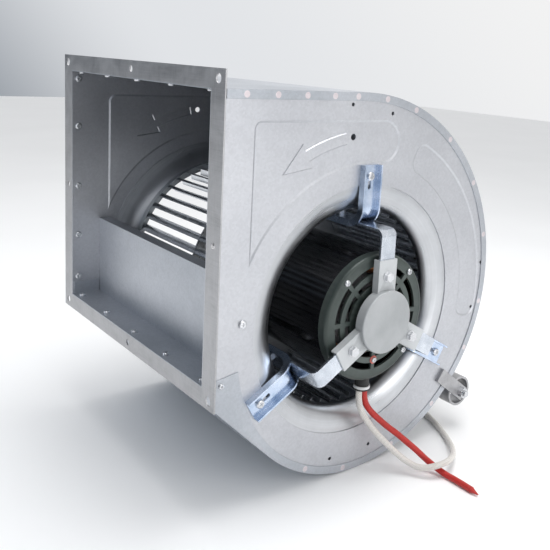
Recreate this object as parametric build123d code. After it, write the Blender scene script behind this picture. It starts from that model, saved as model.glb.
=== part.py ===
from build123d import *
import os
from math import asin, cos, degrees, pi, radians, sin, sqrt, tan

# Double-inlet centrifugal blower with its motor inside the wheel.
# Millimetres. +X runs along the shaft towards the motor's inlet, -Y is the discharge, +Z is up.
# The origin is the centre of the outlet flange's front face.

# ---------------------------------------------------------------- driving dimensions
SHEET = 1.0                     # housing sheet
DUCT_WIDTH = 331.0              # outside of the side plates
DUCT_HEIGHT = 288.0             # outside of the top and floor sheets
AXIS_Y = 201.5                  # wheel axis behind the flange face
AXIS_Z = -100.5                 # wheel axis below the flange centre

WHEEL_RADIUS = 127.0            # 10 inch wheel
BLADE_INNER_RADIUS = 112.5
WHEEL_HALF_WIDTH = 144.0
BLADE_COUNT = 48

MOTOR_RADIUS = 72.5
MOTOR_FRONT = 35.0              # x of the end bell that faces the wheel disc
MOTOR_REAR = 193.0              # x of the end bell that faces the room

SPLINE_STEP = 24.3              # growth of the scroll radius every quarter turn
SCROLL_RADIUS = 183.75          # outside radius of the scroll's first arc

# ---------------------------------------------------------------- derived places
HALF_WIDTH = DUCT_WIDTH / 2
TOP = DUCT_HEIGHT / 2
FLOOR = -DUCT_HEIGHT / 2
MOTOR_MIDDLE = (MOTOR_FRONT + MOTOR_REAR) / 2

# The scroll is drawn with three arcs whose centres are corners of a square about the axis.
ARC_LOW = (AXIS_Y + SPLINE_STEP / 2, AXIS_Z - SPLINE_STEP / 2)
ARC_BACK = (AXIS_Y + SPLINE_STEP / 2, AXIS_Z + SPLINE_STEP / 2)
ARC_TOP = (AXIS_Y - SPLINE_STEP / 2, AXIS_Z + SPLINE_STEP / 2)
RADIUS_LOW = SCROLL_RADIUS
RADIUS_BACK = SCROLL_RADIUS + SPLINE_STEP
RADIUS_TOP = TOP - ARC_TOP[1]

LIP_WIDTH = 9.0                 # folded edge of the scroll sheet over the side plates
LIP_START = 16.0                # the fold starts behind the flange angle
GUSSET_ANGLE = -135.0           # where the corner gusset leaves the scroll
LOW_TAB = 8.0                   # side plate below the floor, in front of the scroll

FLANGE_SIDE = 23.0
FLANGE_END = 18.5
FLANGE_SHEET = 1.5
FLANGE_LEG = 15.0

BELL_RADIUS = 144.0             # hole in the side plate
BELL_FLANGE = 7.0
THROAT_RADIUS = 115.5
THROAT_X = 147.0

SUPPORT_ANGLES = (0, 120, -120)  # turned from straight up


# ---------------------------------------------------------------- helpers
def section(x):
    """Plane across the shaft at x: its own x is +Y, its own y is +Z, and it faces +X."""
    return Plane(origin=(x, 0, 0), x_dir=(0, 1, 0), z_dir=(1, 0, 0))


def about_axis(radius, angle):
    """(y, z) of a point at a radius and angle from the wheel axis."""
    return (AXIS_Y + radius * cos(radians(angle)), AXIS_Z + radius * sin(radians(angle)))


def slab(face, x_from, x_to):
    """A face drawn in (y, z), extruded from x_from to x_to."""
    return extrude(section(x_from) * face, x_to - x_from)


def disc(radius, x_from, x_to, y=AXIS_Y, z=AXIS_Z):
    return slab(Pos(y, z) * Circle(radius), x_from, x_to)


def ring(inner, outer, x_from, x_to, y=AXIS_Y, z=AXIS_Z):
    return slab(Pos(y, z) * (Circle(outer) - Circle(inner)), x_from, x_to)


def block(x_range, y_range, z_range):
    size = [high - low for low, high in (x_range, y_range, z_range)]
    middle = [(high + low) / 2 for low, high in (x_range, y_range, z_range)]
    return Pos(*middle) * Box(*size)


def rod(start, direction, radius, length):
    """A cylinder that starts at a point and runs along a direction."""
    return extrude(Plane(origin=start, z_dir=direction) * Circle(radius), length)


def turned(shape, angle):
    """A shape turned about the wheel axis."""
    return shape.rotate(Axis((0, AXIS_Y, AXIS_Z), (1, 0, 0)), angle)


def mirrored(shape):
    """The same shape on the far side of the blower."""
    return mirror(shape, about=Plane.YZ)


def solids_of(shapes):
    """Separate solids kept as one group."""
    return Compound([solid for shape in shapes for solid in shape.solids()])


def pan_head(start, direction, head_radius=4.0, head_height=2.6, shank_radius=2.0, shank=5.0):
    """A pan-head screw whose head sits at start and whose shank runs against direction."""
    head = rod(start, direction, head_radius, head_height)
    rim = head.edges().sort_by(Axis(start, direction))[-1]
    head = fillet(rim, head_height * 0.6)
    back = Vector(*direction) * -1
    shank_body = rod(start, tuple(back), shank_radius, shank)
    top = Vector(*start) + Vector(*direction) * head_height
    cross = Rectangle(head_radius, 0.9) + Rectangle(0.9, head_radius)
    recess = Plane(origin=top, z_dir=direction) * cross
    return head + shank_body - extrude(recess, -0.9)


def hex_bolt(start, direction, size=6.0, shank=12.0):
    """A hexagon bolt: head and washer on start, shank against direction."""
    plane = Plane(origin=start, z_dir=direction)
    washer = extrude(plane * Circle(size), 1.0)
    head = extrude(plane.offset(1.0) * RegularPolygon(size * 0.92, 6), size * 0.65)
    shank_body = extrude(plane * Circle(size / 2), -shank)
    return washer + head + shank_body


def hex_nut(start, direction, size=6.0):
    """A hexagon nut that sits on start, with its bore open."""
    plane = Plane(origin=start, z_dir=direction)
    return extrude(plane * (RegularPolygon(size * 0.92, 6) - Circle(size / 2)), size * 0.8)


# ---------------------------------------------------------------- scroll outline
def low_end(inset):
    """Angle on the low arc where the scroll sheet reaches the floor sheet."""
    return -180 + degrees(asin((ARC_LOW[1] - FLOOR) / (RADIUS_LOW - inset)))


def arc_point(centre, radius, angle):
    return (centre[0] + radius * cos(radians(angle)), centre[1] + radius * sin(radians(angle)))


def scroll_curves(inset, start_y, end_angle):
    """Line and three arcs from the top front, over the back, to end_angle on the low arc."""
    top_line = Line((start_y, TOP - inset), (ARC_TOP[0], TOP - inset))
    top_arc = CenterArc(ARC_TOP, RADIUS_TOP - inset, 90, -90)
    back_arc = CenterArc(ARC_BACK, RADIUS_BACK - inset, 0, -90)
    low_arc = CenterArc(ARC_LOW, RADIUS_LOW - inset, -90, end_angle + 90)
    return [top_line, top_arc, back_arc, low_arc]


def scroll_strip(outer_inset, inner_inset, start_y, outer_end, inner_end):
    """A band of even width that follows the scroll outline."""
    outer = scroll_curves(outer_inset, start_y, outer_end)
    inner = scroll_curves(inner_inset, start_y, inner_end)
    front = Line((start_y, TOP - outer_inset), (start_y, TOP - inner_inset))
    outer_tip = arc_point(ARC_LOW, RADIUS_LOW - outer_inset, outer_end)
    inner_tip = arc_point(ARC_LOW, RADIUS_LOW - inner_inset, inner_end)
    return make_face(outer + [Line(outer_tip, inner_tip)] + inner + [front])


# ---------------------------------------------------------------- housing
PANEL_DEPTH = 1.2               # pressed panels, towards the inside
PANEL_SLOPE = 2.2               # width of a panel's sloped wall
PANEL_LEFT = 48.5
PANEL_TOP = 114.5
PANEL_END = (221.5, 90.5)       # centre of the panel's round end
PANEL_INNER_RADIUS = 168.0
BACK_PANEL_OUTER = 206.5
BACK_PANEL_START = 68.0
BACK_PANEL_END = -12.0
ARROW_RADIUS = 198.5
ARROW_TIP_ANGLE = 125.6
ARROW_BARB_ANGLE = 116.0
ARROW_TAIL_ANGLE = 100.3


def duct_panel(grow):
    """Pressed panel beside the outlet, from the flange to above the inlet."""
    end_radius = PANEL_TOP - PANEL_END[1] + grow
    inner_radius = PANEL_INNER_RADIUS - grow
    left = PANEL_LEFT - grow
    top = PANEL_TOP + grow
    low = AXIS_Z + sqrt(inner_radius ** 2 - (AXIS_Y - left) ** 2)
    right = PANEL_END[0]
    shape = make_face(Polyline((left, low), (left, top), (right, top), (right, low), close=True))
    shape += Pos(*PANEL_END) * Circle(end_radius)
    shape -= Pos(AXIS_Y, AXIS_Z) * Circle(inner_radius)
    corners = shape.vertices().sort_by(Axis.X)[0:2]
    return fillet(corners.sort_by(Axis.Y)[-1], 9 + grow)


def back_panel(grow):
    """Pressed panel that follows the back of the scroll."""
    inner = PANEL_INNER_RADIUS + 2 - grow
    outer = BACK_PANEL_OUTER + grow
    spread = degrees(grow / inner)
    start = BACK_PANEL_START + spread
    end = BACK_PANEL_END - spread
    far = 400
    rim = [about_axis(far, angle) for angle in (end, (start + end) / 2, start)]
    wedge = make_face(Polyline((AXIS_Y, AXIS_Z), *rim, close=True))
    panel = Pos(AXIS_Y, AXIS_Z) * (Circle(outer) - Circle(inner)) & wedge
    return fillet(panel.vertices(), 14 + grow)


def flow_arrow(grow):
    """Arrow that follows the turn of the wheel, left standing in the duct panel."""
    half_shaft = 5.5 + grow
    half_head = 13.5 + grow
    spread = degrees(grow / ARROW_RADIUS)
    tail = ARROW_TAIL_ANGLE - spread
    barb = ARROW_BARB_ANGLE - spread
    tip = ARROW_TIP_ANGLE + 2 * spread
    shaft_outer = CenterArc((AXIS_Y, AXIS_Z), ARROW_RADIUS + half_shaft, tail, barb - tail)
    shaft_inner = CenterArc((AXIS_Y, AXIS_Z), ARROW_RADIUS - half_shaft, tail, barb - tail)
    head = Polyline(
        about_axis(ARROW_RADIUS + half_shaft, barb),
        about_axis(ARROW_RADIUS + half_head, barb),
        about_axis(ARROW_RADIUS, tip),
        about_axis(ARROW_RADIUS - half_head, barb),
        about_axis(ARROW_RADIUS - half_shaft, barb))
    tail_line = Line(
        about_axis(ARROW_RADIUS - half_shaft, tail),
        about_axis(ARROW_RADIUS + half_shaft, tail))
    return make_face([shaft_outer, head, shaft_inner, tail_line])


def frustum(outline, x_wide, x_narrow, grow, slope):
    """Solid with sloped walls: outline(grow) at x_wide and outline(grow - slope) at x_narrow."""
    return loft([section(x_wide) * outline(grow), section(x_narrow) * outline(grow - slope)], ruled=True)


def foot_holes():
    """Three pairs of pilot holes for bolt-on feet, at the top, back and bottom of the plate."""
    holes = []
    for radius, angle, tilt in ((226.8, 90, -9), (205.0, 0, -9.5), (172.5, -90, 0)):
        middle = Vector(*about_axis(radius, angle))
        along = Vector(1, 0).rotate(Axis.Z, angle - 90 + tilt)
        for side in (-30, 30):
            spot = middle + along * side
            holes.append(Pos(spot.X, spot.Y) * Circle(2.1))
    return holes


def side_plate():
    """Side plate with the inlet hole, pressed panels, arrow and pilot holes."""
    end = low_end(SHEET)
    tip = arc_point(ARC_LOW, RADIUS_LOW - SHEET, end)
    edge = Polyline(tip, (30, FLOOR), (30, FLOOR - LOW_TAB), (FLANGE_SHEET, FLOOR - LOW_TAB),
                    (FLANGE_SHEET, FLOOR), (0, FLOOR), (0, TOP - SHEET))
    outline = make_face(scroll_curves(SHEET, 0, end) + [edge])
    outline -= Pos(AXIS_Y, AXIS_Z) * Circle(BELL_RADIUS)
    outside = HALF_WIDTH
    inside = HALF_WIDTH - SHEET
    sunk = outside - PANEL_DEPTH
    plate = slab(outline, inside, outside)
    for panel in (duct_panel, back_panel):
        plate += frustum(panel, inside, sunk - SHEET, SHEET, PANEL_SLOPE)
    for panel in (duct_panel, back_panel):
        plate -= frustum(panel, outside, sunk, 0, PANEL_SLOPE)
    plate += frustum(flow_arrow, sunk, outside, SHEET, SHEET)
    plate -= frustum(flow_arrow, sunk - SHEET, inside, 0, SHEET)
    for hole in foot_holes() + [Pos(176.2, 96.5) * Circle(3.5)]:
        plate -= slab(hole, HALF_WIDTH - 5, HALF_WIDTH + 1)
    return plate


def inlet_bell():
    """Spun inlet bell: a quarter-ellipse mouth with a flange behind the side plate."""
    depth = HALF_WIDTH - SHEET - THROAT_X
    spread = BELL_RADIUS - THROAT_RADIUS
    axis_line = Plane(origin=(0, AXIS_Y, AXIS_Z), x_dir=(1, 0, 0), z_dir=(0, -1, 0))
    centre = (THROAT_X, BELL_RADIUS)
    air_side = EllipticalCenterArc(centre, depth, spread, start_angle=270, arc_size=90)
    back_side = EllipticalCenterArc(centre, depth - SHEET, spread - SHEET, start_angle=270, arc_size=90)
    face = THROAT_X + depth
    rim = BELL_RADIUS + BELL_FLANGE
    flange = Polyline((face, BELL_RADIUS), (face, rim), (face - SHEET, rim), (face - SHEET, BELL_RADIUS))
    lip = Line((THROAT_X, THROAT_RADIUS), (THROAT_X, THROAT_RADIUS + SHEET))
    profile = make_face([air_side, flange, back_side, lip])
    return revolve(axis_line * profile, Axis((0, AXIS_Y, AXIS_Z), (1, 0, 0)), 360)


def scroll_wrapper():
    """One sheet from the outlet's top edge round to the floor, as wide as the duct."""
    band = scroll_strip(0, SHEET, 0, low_end(0), low_end(SHEET))
    return slab(band, -HALF_WIDTH, HALF_WIDTH)


def scroll_lips():
    """The scroll sheet's edges, folded over the side plates."""
    lip = scroll_strip(0, LIP_WIDTH, LIP_START, GUSSET_ANGLE, GUSSET_ANGLE)
    near_lip = slab(lip, HALF_WIDTH, HALF_WIDTH + SHEET)
    return [near_lip, mirrored(near_lip)]


def corner_gusset():
    """Flat web between the scroll's start and the flange, outside the side plate."""
    touch = arc_point(ARC_LOW, RADIUS_LOW, GUSSET_ANGLE)
    inner_radius = RADIUS_LOW - LIP_WIDTH
    inner_touch = arc_point(ARC_LOW, inner_radius, GUSSET_ANGLE)
    top_z = FLOOR + 7
    arc_end = -180 + degrees(asin((ARC_LOW[1] - top_z) / inner_radius))
    inner_top = arc_point(ARC_LOW, inner_radius, arc_end)
    front_low = (FLANGE_SHEET, touch[1] + touch[0] - FLANGE_SHEET)
    leg_end = FLANGE_LEG + 0.5
    leg_low = FLOOR - LOW_TAB - 0.2
    edge = Polyline(
        touch, front_low, (FLANGE_SHEET, leg_low), (leg_end, leg_low), (leg_end, top_z - 4), inner_top)
    arc = CenterArc(ARC_LOW, inner_radius, GUSSET_ANGLE, arc_end - GUSSET_ANGLE)
    web = make_face([edge, arc, Line(inner_touch, touch)])
    return slab(web, HALF_WIDTH, HALF_WIDTH + SHEET)


CUTOFF_Y = 36.0
CUTOFF_TOP = -45.0
INSIDE = HALF_WIDTH - SHEET


def outlet_floor():
    """Floor of the outlet between the flange and the cutoff, with turned-up sides."""
    floor = block((-INSIDE, INSIDE), (0, CUTOFF_Y + SHEET), (FLOOR, FLOOR + SHEET))
    for side in (-1, 1):
        wall = sorted((side * INSIDE, side * (INSIDE - SHEET)))
        floor += block(wall, (2, CUTOFF_Y - 1), (FLOOR + SHEET, FLOOR + 17))
    return floor


def cutoff_plate():
    """Upright cutoff plate with a folded top and side flanges."""
    plate = block((-INSIDE, INSIDE), (CUTOFF_Y, CUTOFF_Y + SHEET), (FLOOR + SHEET, CUTOFF_TOP))
    plate += block((-INSIDE, INSIDE), (CUTOFF_Y, CUTOFF_Y + 15), (CUTOFF_TOP - SHEET, CUTOFF_TOP))
    for side in (-1, 1):
        wall = sorted((side * INSIDE, side * (INSIDE - SHEET)))
        plate += block(wall, (CUTOFF_Y + SHEET, CUTOFF_Y + 14), (FLOOR + 12, CUTOFF_TOP - SHEET))
    return plate


HOLE_X = 177.0                  # flange bolt holes
HOLE_Z = 153.5
CORNER_HOLE = 4.5
MIDDLE_HOLE = 3.5


def flange_hole(x, z, radius):
    return rod((x, -1, z), (0, 1, 0), radius, 4)


def flange_side_member():
    """Angle down the side of the outlet, with corner and middle holes."""
    half = TOP + FLANGE_END
    member = block((HALF_WIDTH, HALF_WIDTH + FLANGE_SIDE), (0, FLANGE_SHEET), (-half, half))
    leg_x = (HALF_WIDTH, HALF_WIDTH + FLANGE_SHEET)
    member += block(leg_x, (FLANGE_SHEET, FLANGE_LEG), (FLOOR - LOW_TAB, TOP))
    for z in (-HOLE_Z, HOLE_Z):
        member -= flange_hole(HOLE_X, z, CORNER_HOLE)
    return member - flange_hole(HOLE_X, 0, MIDDLE_HOLE)


def flange_end_member():
    """Angle across the top of the outlet, between the side members."""
    member = block((-HALF_WIDTH, HALF_WIDTH), (0, FLANGE_SHEET), (TOP, TOP + FLANGE_END))
    member += block((-INSIDE, INSIDE), (FLANGE_SHEET, FLANGE_LEG), (TOP, TOP + FLANGE_SHEET))
    return member - flange_hole(0, HOLE_Z, MIDDLE_HOLE)


FLANGE_SCREW_Y = 8.0
SIDE_SCREW_HEIGHTS = (-120, -65, -1, 75, 134)
END_SCREW_PLACES = (-152, -76, 0, 76, 152)


def flange_screws():
    """Pan-head screws from inside the duct into the flange angles."""
    screws = []
    for z in SIDE_SCREW_HEIGHTS:
        for side in (-1, 1):
            screws.append(pan_head((side * INSIDE, FLANGE_SCREW_Y, z), (-side, 0, 0)))
    for x in END_SCREW_PLACES:
        screws.append(pan_head((x, FLANGE_SCREW_Y, TOP - SHEET), (0, 0, -1)))
        screws.append(pan_head((x, FLANGE_SCREW_Y, FLOOR + SHEET), (0, 0, 1)))
    return screws


def plate_screws():
    """Screws that hold the cutoff plate and the corner gussets to the side plates."""
    screws = []
    for side in (-1, 1):
        screws.append(pan_head((side * HALF_WIDTH, 43.5, -87.5), (side, 0, 0), head_radius=4.4))
        screws.append(pan_head((side * (HALF_WIDTH + SHEET), 21.0, FLOOR - 3.5), (side, 0, 0),
                               head_radius=3.0, head_height=1.8, shank=4))
    return screws


# ---------------------------------------------------------------- wheel
DISC_THICKNESS = 1.2


def blade():
    """Forward-curved blade section, concave towards the direction of turn."""
    inner = Vector(BLADE_INNER_RADIUS, 0)
    tip_angle = radians(3.2)
    tip_radius = WHEEL_RADIUS - 0.4
    tip = Vector(tip_radius * cos(tip_angle), tip_radius * sin(tip_angle))
    chord = tip - inner
    side = Vector(chord.Y, -chord.X).normalized()
    belly = (inner + tip) / 2 + side * 4.2
    thickness = 0.7
    outer_arc = ThreePointArc(inner, belly, tip)
    inner_arc = ThreePointArc(inner - side * thickness, belly - side * thickness, tip - side * thickness)
    ends = [Line(inner, inner - side * thickness), Line(tip, tip - side * thickness)]
    return make_face([outer_arc, inner_arc] + ends)


def blade_row(x_from, x_to):
    section_face = Pos(AXIS_Y, AXIS_Z) * blade()
    first = slab(section_face, x_from, x_to)
    return [turned(first, 360 * index / BLADE_COUNT) for index in range(BLADE_COUNT)]


def wheel_disc():
    """Centre disc between the two blade rows."""
    return ring(HUB_RADIUS, WHEEL_RADIUS, -DISC_THICKNESS / 2, DISC_THICKNESS / 2)


def end_ring():
    """Rolled ring that ties the free ends of one blade row, hidden behind the bell's throat."""
    face = ring(THROAT_RADIUS + 2.5, WHEEL_RADIUS + 0.8, WHEEL_HALF_WIDTH - 1, WHEEL_HALF_WIDTH)
    rim = ring(WHEEL_RADIUS, WHEEL_RADIUS + 0.8, WHEEL_HALF_WIDTH - 8, WHEEL_HALF_WIDTH)
    return face + rim


HUB_RADIUS = 17.0
SHAFT_OUTPUT = 6.35
SHAFT_BEARING = 7.5


def wheel_hub():
    """Hub with a flange on each side of the disc."""
    hub = disc(HUB_RADIUS, -22, 11)
    hub += disc(32, -5, -DISC_THICKNESS / 2)
    hub += disc(32, DISC_THICKNESS / 2, 3)
    hub -= disc(SHAFT_OUTPUT, -25, 15)
    hub -= rod((-14, AXIS_Y, AXIS_Z), (0, 0, 1), 4, 30)
    return hub


def hub_setscrew():
    """Square-head set screw that grips the flat on the shaft."""
    screw = rod((-14, AXIS_Y, AXIS_Z + 5), (0, 0, 1), 4, 14)
    head = block((-18, -10), (AXIS_Y - 4, AXIS_Y + 4), (AXIS_Z + 19, AXIS_Z + 25))
    return screw + head


def motor_shaft():
    """Stepped shaft: wheel end with a flat, bearing journals and rotor seat."""
    shaft = disc(SHAFT_OUTPUT, -24, MOTOR_FRONT - 4)
    shaft += disc(SHAFT_BEARING, MOTOR_FRONT - 4, MOTOR_REAR + 4)
    return shaft - block((-25, 13), (AXIS_Y - 10, AXIS_Y + 10), (AXIS_Z + 5, AXIS_Z + 10))


STACK_HALF = 30.0               # half length of the laminations
ROTOR_RADIUS = 38.0
AIR_GAP = 0.4


def rotor_core():
    """Cage rotor: laminated drum, end rings and small fan fins."""
    left = MOTOR_MIDDLE - STACK_HALF
    right = MOTOR_MIDDLE + STACK_HALF
    core = ring(SHAFT_BEARING, ROTOR_RADIUS, left, right)
    for start, end in ((left - 6, left), (right, right + 6)):
        core += ring(24, ROTOR_RADIUS - 1.5, start, end)
    return core


# ---------------------------------------------------------------- motor
BELL_RIM_DEPTH = 12.0
SHELL_SHEET = 1.4
BOSS_RADIUS = 20.0
BEARING_RADIUS = 17.5
BEARING_WIDTH = 11.0


def motor_shell():
    inner = MOTOR_RADIUS - SHELL_SHEET
    return ring(inner, MOTOR_RADIUS, MOTOR_FRONT + BELL_RIM_DEPTH, MOTOR_REAR - BELL_RIM_DEPTH)


def vent_slot(inner, outer, middle_angle):
    """Arc slot between two spokes of the end bell, centred on the axis."""
    spoke = 5.0
    half = 22.5 - degrees(asin(spoke / (inner + outer)))
    outer_arc = CenterArc((AXIS_Y, AXIS_Z), outer, middle_angle - half, 2 * half)
    inner_arc = CenterArc((AXIS_Y, AXIS_Z), inner, middle_angle - half, 2 * half)
    end_angles = (middle_angle - half, middle_angle + half)
    ends = [Line(about_axis(inner, angle), about_axis(outer, angle)) for angle in end_angles]
    return make_face([outer_arc, inner_arc] + ends)


THROUGH_BOLT_RADIUS = 65.5
THROUGH_BOLT_ANGLES = (45, 135, 225, 315)


def rear_end_bell():
    """Cast end bell with two rings of vent slots and a bearing boss."""
    bell = disc(MOTOR_RADIUS, MOTOR_REAR - BELL_RIM_DEPTH, MOTOR_REAR)
    rim = bell.faces().sort_by(Axis.X)[-1].edges()
    bell = fillet(rim, 4)
    bell -= disc(MOTOR_RADIUS - 4, MOTOR_REAR - BELL_RIM_DEPTH - 1, MOTOR_REAR - 3.5)
    bell += disc(BOSS_RADIUS, MOTOR_REAR - 8, MOTOR_REAR + 13)
    bell -= disc(BEARING_RADIUS, MOTOR_REAR - 9, MOTOR_REAR + 3.5)
    bell -= disc(SHAFT_BEARING + 1.5, MOTOR_REAR - 9, MOTOR_REAR + 6)
    for inner, outer in ((38.5, 45.3), (52.0, 59.5)):
        for index in range(8):
            bell -= slab(vent_slot(inner, outer, 22.5 + 45 * index), MOTOR_REAR - 5, MOTOR_REAR + 1)
    for angle in THROUGH_BOLT_ANGLES:
        y, z = about_axis(THROUGH_BOLT_RADIUS, angle)
        bell -= disc(2.0, MOTOR_REAR - 5, MOTOR_REAR + 1, y, z)
    return bell


def to_front_end(shape):
    """The same shape on the motor's wheel end."""
    return mirror(shape, about=Plane.YZ.offset(MOTOR_MIDDLE))


def both_ends(shape):
    """A rear piece and its twin on the wheel end, as one group."""
    return solids_of([shape, to_front_end(shape)])


def front_end_bell():
    """Wheel-end bell: the same casting, bored right through for the shaft."""
    bell = to_front_end(rear_end_bell())
    return bell - disc(SHAFT_BEARING + 1.5, MOTOR_FRONT - 14, MOTOR_FRONT)


def bearing_outer():
    """Outer ring and seal of the ball bearing in the rear bell."""
    return ring(10.55, BEARING_RADIUS, MOTOR_REAR - 7.5, MOTOR_REAR - 7.5 + BEARING_WIDTH)


def bearing_inner():
    """Inner ring pressed on the shaft."""
    return ring(SHAFT_BEARING, 10.5, MOTOR_REAR - 7.5, MOTOR_REAR - 7.5 + BEARING_WIDTH)


def stator_core():
    """Stack of stator laminations with winding slots."""
    inner = ROTOR_RADIUS + AIR_GAP
    core = ring(inner, MOTOR_RADIUS - SHELL_SHEET, MOTOR_MIDDLE - STACK_HALF, MOTOR_MIDDLE + STACK_HALF)
    for angle in THROUGH_BOLT_ANGLES:
        y, z = about_axis(THROUGH_BOLT_RADIUS, angle)
        core -= disc(2.4, MOTOR_MIDDLE - 40, MOTOR_MIDDLE + 40, y, z)
    return core


def stator_windings():
    """Copper end turns on both faces of the laminations."""
    right = MOTOR_MIDDLE + STACK_HALF
    turns = ring(43, 61, right, right + 22)
    turns = fillet(turns.faces().sort_by(Axis.X)[-1].edges(), 6)
    return [turns, to_front_end(turns)]


def through_bolts():
    """Long screws that clamp both end bells, with nuts on the wheel end."""
    bolts = []
    for angle in THROUGH_BOLT_ANGLES:
        y, z = about_axis(THROUGH_BOLT_RADIUS, angle)
        bolt = pan_head((MOTOR_REAR, y, z), (1, 0, 0), 3.6, 2.6, 1.9, MOTOR_REAR - MOTOR_FRONT + 5)
        bolts.append(bolt + disc(3.6, MOTOR_FRONT - 3, MOTOR_FRONT, y, z))
    return bolts


GLAND_X = 178.0
GLAND_RADIUS = 8.2
GLAND_END = AXIS_Z - 89.5       # where the leads leave the gland


def lead_gland():
    """Short black bush under the motor, shaped to the shell."""
    bush = rod((GLAND_X, AXIS_Y, GLAND_END), (0, 0, 1), GLAND_RADIUS, 24)
    return bush - disc(MOTOR_RADIUS, GLAND_X - 30, GLAND_X + 30)


def gland_collar():
    """Pale ring round the gland's mouth."""
    plane = Plane(origin=(GLAND_X, AXIS_Y, GLAND_END + 2.5), z_dir=(0, 0, 1))
    return extrude(plane * (Circle(GLAND_RADIUS + 1.3) - Circle(GLAND_RADIUS)), 3)


EARTH_SCREW = about_axis(48.7, -90)


def earth_screw():
    return pan_head((MOTOR_REAR + 0.8, *EARTH_SCREW), (1, 0, 0), 3.2, 2.4, 1.6, 4)


def earth_washer():
    return ring(1.6, 4.6, MOTOR_REAR, MOTOR_REAR + 0.8, *EARTH_SCREW)


# ---------------------------------------------------------------- motor supports
ARM_WIDTH = 26.0
ARM_SHEET = 2.0
ARM_FACE = 206.0                # x of the arms' outer faces
CUP_FACE = 211.0
CUP_RADIUS = 35.4
ARM_END = 69.0
SPIDER_BOLT = 50.5              # radius of the strap bolts

STRAP_WIDTH = 21.0
STRAP_THICK = 3.0
STRAP_OUTER = 102.0             # height of the strap's outer face above the axis
STRAP_FACE = ARM_FACE - ARM_SHEET

BRACKET_WIDTH = 26.0
BRACKET_SHEET = 2.0
BRACKET_DEPTH = 8.0
BRACKET_TOP = 166.5
BRACKET_BEND = 16.0             # radius of the bracket's back at the bend
BRACKET_INNER_END = 104.0
BRACKET_SCREW = 154.0
CLAMP_X = 123.5                 # bolt that clamps strap to bracket


def upright(x_range, half_width, height_range):
    """A block on the support that points straight up, heights above the axis."""
    return block(x_range, (AXIS_Y - half_width, AXIS_Y + half_width),
                 (AXIS_Z + height_range[0], AXIS_Z + height_range[1]))


def rear_spider():
    """Pressed cup with three channel arms, over the motor's rear boss."""
    spider = disc(CUP_RADIUS, 199, CUP_FACE)
    spider = fillet(spider.faces().sort_by(Axis.X)[-1].edges(), 1.5)
    for angle in SUPPORT_ANGLES:
        arm = upright((197, ARM_FACE), ARM_WIDTH / 2, (25, ARM_END))
        arm -= upright((190, STRAP_FACE), ARM_WIDTH / 2 - ARM_SHEET, (20, ARM_END + 5))
        spider += turned(arm, angle)
    spider -= disc(CUP_RADIUS - ARM_SHEET, 190, CUP_FACE - ARM_SHEET)
    for angle in SUPPORT_ANGLES:
        hole = rod((190, AXIS_Y, AXIS_Z + SPIDER_BOLT), (1, 0, 0), 3.1, 20)
        spider -= turned(hole, angle)
    return spider


def front_spider():
    """The same pressing on the wheel end, with a hole for the shaft."""
    return to_front_end(rear_spider()) - disc(10, 0, 40)


def rubber_ring():
    """Resilient ring between the end bell's boss and the cup."""
    return ring(BOSS_RADIUS, CUP_RADIUS - ARM_SHEET, MOTOR_REAR + 3, MOTOR_REAR + 13)


def motor_strap():
    """Flat bar bent into a U: one leg on each spider, the long run beside the motor."""
    plane = Plane(origin=(0, AXIS_Y, AXIS_Z), x_dir=(1, 0, 0), z_dir=(0, -1, 0))
    length = 2 * (STRAP_FACE - MOTOR_MIDDLE)
    height = STRAP_OUTER - 41
    middle = (MOTOR_MIDDLE, 41 + height / 2)
    outer = Pos(*middle) * Rectangle(length, height)
    outer = fillet(outer.vertices().sort_by(Axis.Y)[2:], 8)
    inner = Pos(MOTOR_MIDDLE, middle[1] - STRAP_THICK) * Rectangle(length - 2 * STRAP_THICK, height)
    inner = fillet(inner.vertices().sort_by(Axis.Y)[2:], 5)
    strap = extrude(plane * (outer - inner), STRAP_WIDTH / 2, both=True)
    strap -= rod((0, AXIS_Y, AXIS_Z + SPIDER_BOLT), (1, 0, 0), 3.1, 220)
    return strap - rod((CLAMP_X, AXIS_Y, AXIS_Z + 90), (0, 0, 1), 3.1, 20)


def bracket_strip(near, far):
    """Outline between two distances from the bracket's back, along its leg, bend and run."""
    centre = (HALF_WIDTH - BRACKET_BEND, STRAP_OUTER + BRACKET_SHEET + BRACKET_BEND)
    run = STRAP_OUTER + BRACKET_SHEET
    leg_near = Line((HALF_WIDTH + near, BRACKET_TOP), (HALF_WIDTH + near, centre[1]))
    leg_far = Line((HALF_WIDTH + far, BRACKET_TOP), (HALF_WIDTH + far, centre[1]))
    bend_near = CenterArc(centre, BRACKET_BEND + near, 0, -90)
    bend_far = CenterArc(centre, BRACKET_BEND + far, 0, -90)
    run_near = Line((centre[0], run - near), (BRACKET_INNER_END, run - near))
    run_far = Line((centre[0], run - far), (BRACKET_INNER_END, run - far))
    top = Line((HALF_WIDTH + near, BRACKET_TOP), (HALF_WIDTH + far, BRACKET_TOP))
    end = Line((BRACKET_INNER_END, run - near), (BRACKET_INNER_END, run - far))
    return make_face([leg_near, bend_near, run_near, end, run_far, bend_far, leg_far, top])


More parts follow.
